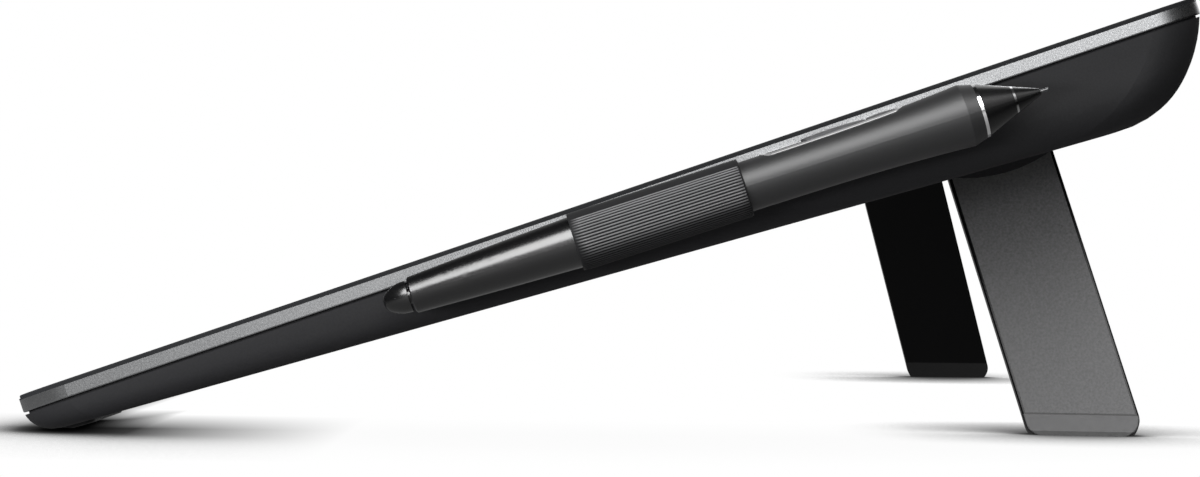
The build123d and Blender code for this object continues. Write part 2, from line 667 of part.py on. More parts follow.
def cover_screws():
    screws = []
    for x, y, floor in screw_places():
        base = under_z(y) + floor + SCREW_SINK
        shank_end = FRAME_BOTTOM + SCREW_BITE - SCREW_FIT
        screw = Cylinder(SCREW_HEAD_R, SCREW_HEAD_T, align=FROM_BASE)
        screw += Cylinder(SCREW_R, shank_end - base, align=FROM_BASE)
        screws.append(Pos(x, y, base) * screw)
    return Compound([screw.solid() for screw in screws])


# Feet and legs, right-hand side; the left is their mirror image

def front_foot():
    foot = foot_outline(0, -FOOT_PROUD, FOOT_SEAT)
    foot = fillet(foot.faces().sort_by(Axis.Z)[0].edges(), FOOT_EDGE_R)
    return UNDER * foot & above_desk(0)


def rear_pad():
    pad = pad_outline(0, -FOOT_PROUD, FOOT_SEAT)
    return UNDER * fillet(pad.faces().sort_by(Axis.Z)[0].edges(), FOOT_EDGE_R)


def leg_form():
    """Whole blade in its own frame: Y along the hinge, -Z down the leg, +X its outer face."""
    extra = LEG_T / 2 * tan(radians(LEG_SPLAY)) + LEG_EDGE_R
    outline = Polyline((0, 0), (LEG_W, 0), (LEG_W, -leg_reach(LEG_W) - extra), (0, -leg_reach(0) - extra),
                       close=True)
    face = make_face(outline)
    face = fillet(face.vertices().sort_by(Axis.Y)[:2], FOOT_CORNER_R)
    blade = extrude(Plane.YZ * Pos(0, 0, -LEG_T / 2) * face, LEG_T)
    long_edges = [edge for edge in blade.faces().filter_by(Axis.X).edges() if edge.center().Z < -LEG_T]
    blade = fillet(long_edges, LEG_EDGE_R)
    blade += tube_along_y(LEG_T / 2, 0, LEG_W)
    return blade - tube_along_y(PIN_R + RUN_FIT, -OVERRUN, LEG_W + OVERRUN)


def leg_pieces():
    blade = LEG_OPEN * leg_form() & above_desk(0)
    upper = above_desk(FOOT_STRIP_H)
    skin = block(LEG_T / 2 - SKIN_T, LEG_T / 2, SKIN_RIM, LEG_W - SKIN_RIM, -2 * LEG_L, -SKIN_TOP)
    skin = LEG_OPEN * skin & above_desk(FOOT_STRIP_H + SKIN_RIM / 2)
    return {"leg_plate": blade & upper - skin, "leg_skin": skin, "leg_foot": blade - upper}


def leg_hinge_pin():
    return HINGE * tube_along_y(PIN_R, -PIN_SEAT, LEG_W + PIN_SEAT)


def leg_detent():
    """Spring plunger let into the roof of the pocket, its tip on the leg's root."""
    nose_l = POCKET_ROOM - STOP_FIT
    body = Cylinder(DETENT_R, DETENT_L, align=FROM_BASE)
    body += Pos(0, 0, -nose_l) * Cone(DETENT_R / 2, DETENT_R, nose_l, align=FROM_BASE)
    return UNDER * Pos(HINGE_X, pocket_middle(), POCKET_H) * body


# Spare nibs and puller, left-hand pocket

def spare_places():
    """Centre line of each spare nib in the underside's frame."""
    first = pocket_middle() - SPARE_STEP * SPARE_COUNT / 2
    height = POCKET_H + NIB_R + SEAT_FIT
    return [(SPARE_X - NIB_L / 2, first + SPARE_STEP * step, height) for step in range(SPARE_COUNT)]


def spare_nibs():
    rod = Rot(0, 90, 0) * Cylinder(NIB_R, NIB_L)
    return Compound([(UNDER * Pos(*place) * rod).solid() for place in spare_places()])


def puller_ring(margin):
    ring = Cylinder(PULLER_R + margin, PULLER_WIRE, align=FROM_BASE)
    return ring - Cylinder(PULLER_R - PULLER_WIRE - margin, PULLER_WIRE, align=FROM_BASE)


def nib_puller():
    return UNDER * Pos(PULLER_X, pocket_middle(), POCKET_H + SEAT_FIT) * puller_ring(0)


def store_roof():
    """Thicker roof over the nibs and the puller."""
    x0, x1 = SPARE_X - NIB_L - POCKET_WALL, PULLER_X + PULLER_R + POCKET_WALL
    return block(x0, x1, POCKET_FRONT, POCKET_REAR, POCKET_H, POCKET_H + STORE_H + POCKET_WALL)


def store_room():
    room = Pos(PULLER_X, pocket_middle(), POCKET_H - OVERRUN) * Cylinder(
        PULLER_R + SEAT_FIT, PULLER_WIRE + 2 * SEAT_FIT + OVERRUN, align=FROM_BASE)
    half = NIB_L / 2 + SEAT_FIT
    for x, y, z in spare_places():
        room += block(x - half, x + half, y - NIB_R - SEAT_FIT, y + NIB_R + SEAT_FIT,
                      POCKET_H - OVERRUN, z + NIB_R + SEAT_FIT)
    return room


# Pen, drawn along Z from the eraser's tip

def along_pen(radius, start, end):
    return Pos(0, 0, start) * Cylinder(radius, end - start, align=FROM_BASE)


def pen_slot(width, start, end):
    """Prism standing up out of the pen's side, with rounded ends."""
    plane = Plane(origin=(0, 0, (start + end) / 2), x_dir=(1, 0, 0), z_dir=(0, -1, 0))
    outline = RectangleRounded(width, end - start, width * END_ROUND_SHARE)
    return extrude(plane * outline, 2 * BARREL_R)


def grip_form(margin):
    """Outside of the grip, grown by a margin."""
    waist, swell = GRIP_START + GRIP_L * GRIP_WAIST_SHARE, GRIP_START + GRIP_L * GRIP_SWELL_SHARE
    stations = (GRIP_START, GRIP_START_R), (waist, GRIP_WAIST_R), (swell, GRIP_SWELL_R)
    stations += (GRIP_KINK, GRIP_KINK_R),
    wavy = Spline(*[(radius + margin, station) for station, radius in stations])
    lip = Line((GRIP_KINK_R + margin, GRIP_KINK), (GRIP_KINK_R - GRIP_LIP_R + margin, RING_START))
    end = Polyline((GRIP_KINK_R - GRIP_LIP_R + margin, RING_START), (0, RING_START), (0, GRIP_START),
                   (GRIP_START_R + margin, GRIP_START))
    return revolve(Plane.XZ * make_face(wavy + lip + end), Axis.Z)


def cone_r(station):
    return CONE_BASE_R + (CONE_TIP_R - CONE_BASE_R) * (station - CONE_START) / (CONE_END - CONE_START)


def window(width, start, end):
    """Opening for the switch, down to the bore, with the bores of its pivots."""
    pivot = Pos(0, -TRUNNION_AXIS_R, SWITCH_SPLIT) * Rot(0, 90, 0)
    return pen_slot(width, start, end) + pivot * Cylinder(TRUNNION_R + RUN_FIT, width + 3 * TRUNNION_L)


def pen_barrel():
    tail = ERASER_L + ERASER_GAP
    swell = ThreePointArc((TAIL_R, tail + TAIL_EDGE_R),
                          ((TAIL_R + BARREL_R) / 2 + TAIL_BULGE, (tail + BARREL_FULL) / 2),
                          (BARREL_R, BARREL_FULL))
    rest = Polyline((BARREL_R, BARREL_FULL), (BARREL_R, GRIP_START), (SLEEVE_R, GRIP_START),
                    (SLEEVE_R, RING_START + RING_T), (0, RING_START + RING_T), (0, tail),
                    (TAIL_R - TAIL_EDGE_R, tail), (TAIL_R, tail + TAIL_EDGE_R))
    barrel = revolve(Plane.XZ * make_face(swell + rest), Axis.Z)
    barrel -= along_pen(ERASER_STEM_R + RUN_FIT, 0, ERASER_L + ERASER_STEM_L + 2 * ERASER_TRAVEL)
    barrel -= along_pen(TUBE_BORE_R, CORE_START, CONE_END)
    return barrel - switch_window()


def switch_window():
    return window(TRIM_W - 2 * TRIM_RIM, SWITCH_START, TRIM_END - TRIM_RIM)


def pen_grip():
    grip = grip_form(0) - along_pen(SLEEVE_R + SEAT_FIT, 0, CONE_END)
    return grip - switch_window() - trim_band(SEAT_FIT, TRIM_DEEP + SEAT_FIT)


def trim_band(margin, depth):
    """Inlay let into the grip round the switch."""
    outer = pen_slot(TRIM_W + 2 * margin, TRIM_START - margin, TRIM_END + margin)
    inner = pen_slot(TRIM_W - 2 * TRIM_RIM - 2 * margin, TRIM_START + TRIM_RIM + margin,
                     TRIM_END - TRIM_RIM - margin)
    return (outer - inner) & (grip_form(TRIM_RAISE) - grip_form(-depth))


def pen_switch():
    """Rocker with two low crowns, a groove between them and pivots at the sides."""
    width = TRIM_W - 2 * TRIM_RIM - 2 * SWITCH_FIT
    start, end = SWITCH_START + SWITCH_FIT, TRIM_END - TRIM_RIM - SWITCH_FIT
    low, high = GRIP_WAIST_R + SWITCH_RAISE, GRIP_WAIST_R + SWITCH_RAISE + SWITCH_CROWN
    crowns = ThreePointArc((low, start), (high, (start + SWITCH_SPLIT) / 2), (low, SWITCH_SPLIT))
    crowns += ThreePointArc((low, SWITCH_SPLIT), (high, (SWITCH_SPLIT + end) / 2), (low, end))
    sides = Polyline((low, end), (SWITCH_FLOOR_R, end), (SWITCH_FLOOR_R, start), (low, start))
    cap = revolve(Plane.XZ * make_face(crowns + sides), Axis.Z) & pen_slot(width, start, end)
    cap -= Pos(0, -low - SWITCH_GROOVE_R / 2, SWITCH_SPLIT) * Rot(0, 90, 0) * Cylinder(SWITCH_GROOVE_R,
                                                                                     2 * TRIM_W)
    cap += block(-width / 2, width / 2, -SWITCH_FLOOR_R - SWITCH_RAISE, -PIVOT_BASE_R,
                 SWITCH_SPLIT - PIVOT_L / 2, SWITCH_SPLIT + PIVOT_L / 2)
    reach = width + 2 * SWITCH_FIT + 2 * TRUNNION_L
    return cap + Pos(0, -TRUNNION_AXIS_R, SWITCH_SPLIT) * Rot(0, 90, 0) * Cylinder(TRUNNION_R, reach)


def pen_cone():
    ring_end = CONE_RING_AT + CONE_RING_T
    profile = [(CONE_BASE_R, CONE_START), (CONE_TIP_R, CONE_END), (0, CONE_END), (0, CONE_START)]
    cone = turned(profile) + along_pen(TUBE_BORE_R - SEAT_FIT, SPIGOT_START, CONE_START)
    cone -= along_pen(CONE_BASE_R, CONE_RING_AT, ring_end) - along_pen(cone_r(ring_end) - CONE_RING_DEEP,
                                                                      CONE_RING_AT, ring_end)
    return cone - along_pen(NIB_R + RUN_FIT, SPIGOT_START - OVERRUN, NIB_END)


def pen_cone_ring():
    start, end = CONE_RING_AT, CONE_RING_AT + CONE_RING_T
    inner = cone_r(end) - CONE_RING_DEEP + SEAT_FIT
    return turned([(inner, start), (cone_r(start), start), (cone_r(end), end), (inner, end)])


def pen_ring():
    ring = along_pen(RING_R, RING_START, CONE_START)
    return ring - along_pen(SLEEVE_R + SEAT_FIT, RING_START - OVERRUN, CONE_START + OVERRUN)


def pen_core():
    core = along_pen(TUBE_BORE_R - SEAT_FIT, CORE_START, SPIGOT_START)
    return core - along_pen(NIB_R + RUN_FIT, NIB_START - 2 * NIB_TRAVEL, CONE_END)


def pen_nib():
    straight = NIB_END - NIB_R
    return along_pen(NIB_R, NIB_START, straight) + Pos(0, 0, straight) * Sphere(NIB_R)


def pen_eraser():
    dome = Spline((0, 0), (ERASER_DOME_AT * ERASER_R, ERASER_DOME_SHARE * ERASER_L), (ERASER_R, ERASER_L),
                  tangents=((1, 0), (0, 1)))
    back = Polyline((ERASER_R, ERASER_L), (ERASER_STEM_R, ERASER_L),
                    (ERASER_STEM_R, ERASER_L + ERASER_STEM_L), (0, ERASER_L + ERASER_STEM_L), (0, 0))
    return revolve(Plane.XZ * make_face(dome + back), Axis.Z)


# Everything together

def all_pieces():
    form, hollow = cover_form(0), cover_form(WALL)
    pieces = {
        "front_panel": front_panel(),
        "front_frame": front_frame(),
        **screen_stack(),
        "main_board": main_board(),
        "cable_port": cable_port(),
        "port_contacts": port_contacts(),
        "rear_cover": rear_cover(form, hollow),
        "cover_screws": cover_screws(),
        "status_light": status_light(form),
        "power_switch": power_switch(),
        "power_button": power_button(cover_form(-BUTTON_PROUD)),
        "lock_slot_insert": lock_slot_insert(form),
        "pen_loop_anchor": pen_loop_anchor(),
        "pen_loop": pen_loop(),
        "spare_nibs": spare_nibs(),
        "nib_puller": nib_puller(),
    }
    paired = {"front_foot": front_foot(), "rear_pad": rear_pad(), "leg_hinge_pin": leg_hinge_pin(),
              "leg_detent_spring": leg_detent(), **leg_pieces()}
    for name, piece in paired.items():
        pieces[name + "_right"], pieces[name + "_left"] = both_sides(piece)
    for maker in (pen_barrel, pen_grip, pen_ring, pen_cone, pen_cone_ring, pen_core, pen_switch, pen_nib,
                  pen_eraser):
        pieces[maker.__name__] = PEN * maker()
    pieces["pen_switch_trim"] = PEN * trim_band(0, TRIM_DEEP)
    return pieces


def standing(pieces):
    """Tilted onto the legs, with the origin under the middle of the whole."""
    stood = {name: STAND * piece for name, piece in pieces.items()}
    middle = Compound([solid for piece in stood.values() for solid in piece.solids()]).bounding_box()
    shift = Pos(-middle.center().X, -middle.center().Y, -middle.min.Z)
    return {name: shift * piece for name, piece in stood.items()}


os.makedirs("parts", exist_ok=True)
for name, piece in standing(all_pieces()).items():
    export_step(piece, "parts/" + name + ".step")
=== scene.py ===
# Pen display on its fold-out legs, with its pen in the elastic loop: looks, loop, camera and studio
from math import acos, atan2, cos, hypot, pi, radians, sin

import bpy
from mathutils import Matrix, Vector


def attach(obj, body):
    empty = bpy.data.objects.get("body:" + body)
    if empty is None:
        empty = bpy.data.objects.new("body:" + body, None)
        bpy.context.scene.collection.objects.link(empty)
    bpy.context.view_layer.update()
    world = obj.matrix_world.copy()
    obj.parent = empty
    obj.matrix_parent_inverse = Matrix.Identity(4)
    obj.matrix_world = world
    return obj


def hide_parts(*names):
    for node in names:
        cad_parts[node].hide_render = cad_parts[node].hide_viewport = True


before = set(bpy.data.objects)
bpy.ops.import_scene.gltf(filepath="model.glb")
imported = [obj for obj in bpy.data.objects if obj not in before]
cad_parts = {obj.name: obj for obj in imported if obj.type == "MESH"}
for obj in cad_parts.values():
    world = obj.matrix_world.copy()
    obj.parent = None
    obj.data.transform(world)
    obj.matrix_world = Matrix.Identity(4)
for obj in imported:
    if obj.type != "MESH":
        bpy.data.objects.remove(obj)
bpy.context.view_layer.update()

MM = 0.001

# The tablet's own flat frame (X right, Y from the front edge, Z out of the drawing surface, in mm)
# against the model: it is tilted onto its legs and then moved to the middle of its box
TILT = radians(19.5)
TABLET_ORIGIN = Vector((-8.043, -135.921, 7.733)) * MM
TABLET = Matrix.Translation(TABLET_ORIGIN) @ Matrix.Rotation(TILT, 4, "X")
SURFACE_UP = Vector((0.0, -sin(TILT), cos(TILT)))   # out of the drawing surface

# Pen axis in the flat frame: it starts at the eraser's tip and dips towards the nib
PEN_START = Vector((220.0, 88.35, -7.1)) * MM
PEN_DIP = radians(0.79)
PEN = TABLET @ Matrix.Translation(PEN_START) @ Matrix.Rotation(-PEN_DIP, 4, "X")


# Nodes and colours

def linear(code):
    """sRGB hex to the linear colour that shaders take."""
    parts = [int(code[i:i + 2], 16) / 255 for i in (1, 3, 5)]
    return [c / 12.92 if c <= 0.04045 else ((c + 0.055) / 1.055) ** 2.4 for c in parts] + [1.0]


def add_node(tree, kind, settings=None, inputs=None):
    """Add one node, set its properties, and fill its inputs or link them to a socket or a node."""
    node = tree.nodes.new(kind)
    for name, value in (settings or {}).items():
        setattr(node, name, value)
    for name, value in (inputs or {}).items():
        if isinstance(value, bpy.types.Node):
            value = next(output for output in value.outputs if output.enabled)
        if isinstance(value, bpy.types.NodeSocket):
            tree.links.new(value, node.inputs[name])
        else:
            node.inputs[name].default_value = value
    return node


def new_material(name):
    """Material with an empty node tree."""
    material = bpy.data.materials.new(name)
    material.use_nodes = True
    tree = material.node_tree
    tree.nodes.clear()
    return material, tree


def surface(tree, colours, roughness, grain_mm, depth_mm=0.0, amount=None, **fixed):
    """Principled shader with a grain in its gloss, and in its height where it has a depth.

    Two colours are blended by the grain, or by an amount where one is given.
    """
    grain = add_node(tree, "ShaderNodeTexNoise", inputs={
        "Vector": add_node(tree, "ShaderNodeTexCoord").outputs["Object"], "Scale": 1 / (grain_mm * MM)})
    values = {"Base Color": linear(colours[0]), "Roughness": add_node(tree, "ShaderNodeMapRange", inputs={
        "Value": grain, "To Min": roughness[0], "To Max": roughness[1]})}
    if len(colours) == 2:
        values["Base Color"] = add_node(tree, "ShaderNodeMix", {"data_type": "RGBA"}, {
            "Factor": grain if amount is None else amount, "A": linear(colours[0]), "B": linear(colours[1])})
    if depth_mm:
        values["Normal"] = add_node(tree, "ShaderNodeBump", inputs={
            "Height": grain, "Distance": depth_mm * MM})
    values.update({key.replace("_", " "): value for key, value in fixed.items()})
    return add_node(tree, "ShaderNodeBsdfPrincipled", inputs=values)


GRAIN_GLOSS = 0.06         # roughness that a grain adds or takes
POLISH_WAVE = 9.0          # width in mm of the slow unevenness of a polished surface
POLISH_GLOSS = 0.15        # share of the roughness that it adds or takes


def grained(name, dark, light, grain_mm, depth_mm, roughness, **fixed):
    """Surface with a fine grain in its colour, gloss and height."""
    material, tree = new_material(name)
    add_node(tree, "ShaderNodeOutputMaterial", inputs={"Surface": surface(
        tree, (dark, light), (roughness - GRAIN_GLOSS, roughness + GRAIN_GLOSS), grain_mm, depth_mm,
        **fixed)})
    return material


def plain(name, colour, roughness, **fixed):
    """Polished or plated surface with only a trace of unevenness in its gloss."""
    material, tree = new_material(name)
    add_node(tree, "ShaderNodeOutputMaterial", inputs={"Surface": surface(
        tree, (colour,), (roughness * (1 - POLISH_GLOSS), roughness * (1 + POLISH_GLOSS)), POLISH_WAVE,
        **fixed)})
    return material


def faces_towards(tree, direction, limit):
    """1 where the surface faces a direction to within a limit on the cosine."""
    facing = add_node(tree, "ShaderNodeVectorMath", {"operation": "DOT_PRODUCT"}, {
        0: add_node(tree, "ShaderNodeTexCoord").outputs["Normal"], 1: direction})
    return add_node(tree, "ShaderNodeMath", {"operation": "GREATER_THAN"}, {0: facing, 1: limit})


# Finishes

# Spark-eroded ABS: a dry, near-black grey that scatters light softly. Its pits are 0.1 to 0.2 mm wide
# and are drawn 0.5 mm wide, so that they show
moulded_abs = grained("moulded_abs_spark_eroded", "#2d2d2f", "#373739", grain_mm=0.5, depth_mm=0.02,
                      roughness=0.7, Specular_IOR_Level=0.15)
# Polished ABS: the black of the leg's inner face and its edges
polished_black_abs = plain("polished_black_abs", "#0c0c0d", 0.3, Specular_IOR_Level=0.15)
# Leather-grained polycarbonate skin: mid grey with a dull surface of pebbles 0.6 mm wide
leg_skin_grain = grained("leather_grained_polycarbonate", "#565657", "#929293", grain_mm=0.6,
                         depth_mm=0.06, roughness=0.6, Specular_IOR_Level=0.3)
# Moulded silicone of the front feet and rear pads: near black, as dull as rubber
silicone_dark = grained("moulded_silicone_dark", "#1a1a1b", "#202021", grain_mm=1.0, depth_mm=0.006,
                        roughness=0.6)
# Glossy ABS of the pen: deep black with a clean reflection
pen_gloss_abs = plain("piano_black_abs", "#111112", 0.25, Specular_IOR_Level=0.9)
# Soft-touch elastomer of the grip: charcoal with a broad dull sheen. Its skin is finer than the 0.4 mm
# that it is drawn at, so that it shows
soft_touch_grip = grained("soft_touch_elastomer", "#2b2b2c", "#333334", grain_mm=0.4, depth_mm=0.01,
                          roughness=0.46)
# Chrome plate of the pen's rings and trim: bright lines that mirror the room
bright_chrome = plain("bright_chrome_plate", "#f2f2f3", 0.12, Metallic=1.0)
# Satin stainless steel: pale grey with blurred reflections
satin_steel = plain("satin_stainless_steel", "#a9abad", 0.28, Metallic=1.0)
# Satin ABS of the side switch: a lighter grey than the grip, so that the rocker stands out from it
switch_satin = grained("satin_abs_switch", "#4c4c4e", "#58585a", grain_mm=0.4, depth_mm=0.006,
                       roughness=0.4)
# Acetal of the nibs: mid grey and a little waxy
acetal_nib = plain("acetal_nib", "#4a4b4d", 0.2)
# Clear polycarbonate over the status light: pale and glossy
clear_lens = plain("clear_polycarbonate_lens", "#c9d0da", 0.12)
# Solder resist of the circuit boards: deep green, uneven over its copper
board_green = grained("solder_resist_green", "#0d3a22", "#145031", grain_mm=1.5, depth_mm=0.01,
                      roughness=0.35)
# Gold plate of the port's contacts: warm and bright
gold_contacts = plain("gold_plated_contacts", "#d8ab4e", 0.2, Metallic=1.0)
# Moulded ABS inside the cover: plain dark grey
inner_abs = grained("plain_moulded_abs", "#26272a", "#2d2e31", grain_mm=0.8, depth_mm=0.01, roughness=0.5)
# Acrylic light guide behind the screen: nearly white and smooth
acrylic_guide = plain("acrylic_light_guide", "#d8dade", 0.15)

GASKET_T = 0.3             # dark line under the cover glass, along the top of the frame
SOLE_T = 1.0               # black part of a leg's foot along the desk
# The ground edge of the cover glass and the gasket under it: dull dark grey
DULL_EDGE = {"Base Color": linear("#343537"), "Roughness": 0.7, "Specular IOR Level": 0.05}

# Screen area on the cover glass, in the flat frame
SCREEN_W = 344.2
SCREEN_D = 193.6
SCREEN_MIDDLE = Vector((0.0, 137.9, 0.0)) * MM


def blasted_frame():
    """Bead-blasted aluminium that glitters in tiny facets, with the gasket line under the glass.

    The beads leave dents 0.1 mm wide; they are drawn 0.35 mm wide, so that they show.
    """
    material, tree = new_material("bead_blasted_aluminium")
    band = bpy.data.objects["front_frame"]
    to_flat = TABLET.inverted() @ band.matrix_world
    top = max((to_flat @ vertex.co).z for vertex in band.data.vertices)
    gasket_from = TABLET_ORIGIN.dot(SURFACE_UP) + top - GASKET_T * MM
    height = add_node(tree, "ShaderNodeVectorMath", {"operation": "DOT_PRODUCT"}, {
        0: add_node(tree, "ShaderNodeTexCoord").outputs["Object"], 1: SURFACE_UP})
    below = add_node(tree, "ShaderNodeMath", {"operation": "LESS_THAN"}, {0: height, 1: gasket_from})
    alloy = surface(tree, ("#949597", "#c2c3c4"), (0.22, 0.34), grain_mm=0.35, depth_mm=0.01, Metallic=1.0)
    gasket = add_node(tree, "ShaderNodeBsdfPrincipled", inputs=DULL_EDGE)
    mixed = add_node(tree, "ShaderNodeMixShader", inputs={"Fac": below, 1: gasket, 2: alloy})
    add_node(tree, "ShaderNodeOutputMaterial", inputs={"Surface": mixed})
    return material


def two_shot_foot(side, outwards):
    """Silicone foot of a leg: mid grey on its outer face, black round its sides, back and sole."""
    material, tree = new_material("two_shot_silicone" + side)
    place = add_node(tree, "ShaderNodeSeparateXYZ", inputs={
        "Vector": add_node(tree, "ShaderNodeTexCoord").outputs["Object"]}).outputs
    above = add_node(tree, "ShaderNodeMath", {"operation": "GREATER_THAN"}, {
        0: place["Z"], 1: SOLE_T * MM})
    grey = add_node(tree, "ShaderNodeMath", {"operation": "MULTIPLY"}, {
        0: faces_towards(tree, (outwards, 0.0, 0.0), limit=0.8), 1: above})
    add_node(tree, "ShaderNodeOutputMaterial", inputs={"Surface": surface(
        tree, ("#0d0d0e", "#5c5c5d"), (0.56, 0.66), grain_mm=1.2, amount=grey)})
    return material


def etched_glass():
    """Anti-glare etched glass: black printed border, a switched-off screen a shade lighter, a matt edge.

    The etching is far finer than the 0.3 mm that it is drawn at, so that it shows.
    """
    material, tree = new_material("etched_cover_glass")
    turned = add_node(tree, "ShaderNodeMapping", {"vector_type": "TEXTURE"}, {
        "Vector": add_node(tree, "ShaderNodeTexCoord").outputs["Object"],
        "Location": TABLET @ SCREEN_MIDDLE, "Rotation": (TILT, 0.0, 0.0),
        "Scale": (SCREEN_W * MM / 2, SCREEN_D * MM / 2, 1.0)})
    axes = add_node(tree, "ShaderNodeSeparateXYZ", inputs={"Vector": turned}).outputs
    sides = [add_node(tree, "ShaderNodeMath", {"operation": "ABSOLUTE"}, {0: axes[name]}) for name in "XY"]
    furthest = add_node(tree, "ShaderNodeMath", {"operation": "MAXIMUM"}, {0: sides[0], 1: sides[1]})
    on_screen = add_node(tree, "ShaderNodeMath", {"operation": "LESS_THAN"}, {0: furthest, 1: 1.0})
    face = surface(tree, ("#101113", "#1b1c20"), (0.38, 0.46), grain_mm=0.3, depth_mm=0.004,
                   amount=on_screen, Specular_IOR_Level=0.15)
    edge = add_node(tree, "ShaderNodeBsdfPrincipled", inputs=DULL_EDGE)
    mixed = add_node(tree, "ShaderNodeMixShader", inputs={
        "Fac": faces_towards(tree, SURFACE_UP, limit=0.98), 1: edge, 2: face})
    add_node(tree, "ShaderNodeOutputMaterial", inputs={"Surface": mixed})
    return material


cover_glass = etched_glass()

finishes = {
    "front_panel": cover_glass, "display_panel": cover_glass, "front_frame": blasted_frame(),
    "backlight_unit": acrylic_guide, "sensor_board": board_green, "shield_plate": satin_steel,
    "main_board": board_green, "cable_port": satin_steel, "port_contacts": gold_contacts,
    "rear_cover": moulded_abs, "cover_screws": satin_steel, "status_light": clear_lens,
    "power_switch": board_green, "power_button": moulded_abs, "lock_slot_insert": satin_steel,
    "pen_loop_anchor": inner_abs, "spare_nibs": acetal_nib, "nib_puller": satin_steel,
    "pen_barrel": pen_gloss_abs, "pen_grip": soft_touch_grip, "pen_ring": bright_chrome,
    "pen_cone": pen_gloss_abs, "pen_cone_ring": bright_chrome, "pen_core": inner_abs,
    "pen_switch": switch_satin, "pen_nib": acetal_nib, "pen_eraser": pen_gloss_abs,
    "pen_switch_trim": bright_chrome,
}
for side, outwards in (("_right", 1.0), ("_left", -1.0)):
    finishes.update({
        "front_foot" + side: silicone_dark, "rear_pad" + side: silicone_dark,
        "leg_hinge_pin" + side: satin_steel, "leg_detent_spring" + side: satin_steel,
        "leg_plate" + side: polished_black_abs, "leg_skin" + side: leg_skin_grain,
        "leg_foot" + side: two_shot_foot(side, outwards)})

for node, material in finishes.items():
    for material_slot in bpy.data.objects[node].material_slots:
        material_slot.material = material


# Elastic loop: one ribbed tape that leaves the side of the tablet, goes round the pen and comes back

LOOP_FROM = 45.0           # stations along the pen from the eraser's tip, in mm as all that follow
LOOP_TO = 85.0
TAPE_T = 0.6               # without its ribs
TAPE_R = 6.33              # middle of the tape round the pen
SLOT_X = -9.0              # side of the tablet from the pen's axis
TAPE_END_X = -13.0
LAYER_HALF = 0.5           # from the tab's middle to the middle of each layer
RIB_PITCH = 0.68
RIB_HEIGHT = 0.3
RIB_STEPS = 6
LENGTH_STEPS = 20
PLAIN_FROM = radians(48)   # the tape is plain from here over the top
FADE_FROM = radians(5)     # painted shade: the ribs' pale tops darken towards the pen's underside
FADE_OVER = radians(45)
FADE_LEAST = 0.2           # share of their tone that stays
PLAIN_TONE = 0.12          # plain parts against the ribs' tops at 1 (painted highlight) and the grooves at 0 (painted shade)
HEM = 0.4                  # plain strip along each cut end
HEM_RING = 0.9             # place of the ring of points inside each hem, as a share of it
STRAIGHT_STEPS = 12        # parts of each run between the slot and the pen


def tape_line():
    """Middle line of the tape as (x, up, angle) points; its runs to the slot have the angles pi and -pi."""
    reach = hypot(SLOT_X, LAYER_HALF)
    leave = pi - atan2(LAYER_HALF, -SLOT_X) - acos(TAPE_R / reach)
    touch = (TAPE_R * cos(leave), TAPE_R * sin(leave))
    straight = [(TAPE_END_X, LAYER_HALF, pi), (SLOT_X, LAYER_HALF, pi)]
    for step in range(1, STRAIGHT_STEPS):
        share = step / STRAIGHT_STEPS
        straight.append((SLOT_X + (touch[0] - SLOT_X) * share,
                         LAYER_HALF + (touch[1] - LAYER_HALF) * share, pi))
    count = round(2 * leave * TAPE_R / (RIB_PITCH / RIB_STEPS))
    arc = []
    for step in range(count + 1):
        angle = leave - 2 * leave * step / count
        arc.append((TAPE_R * cos(angle), TAPE_R * sin(angle), angle))
    return straight + arc + [(x, -up, -angle) for x, up, angle in reversed(straight)]


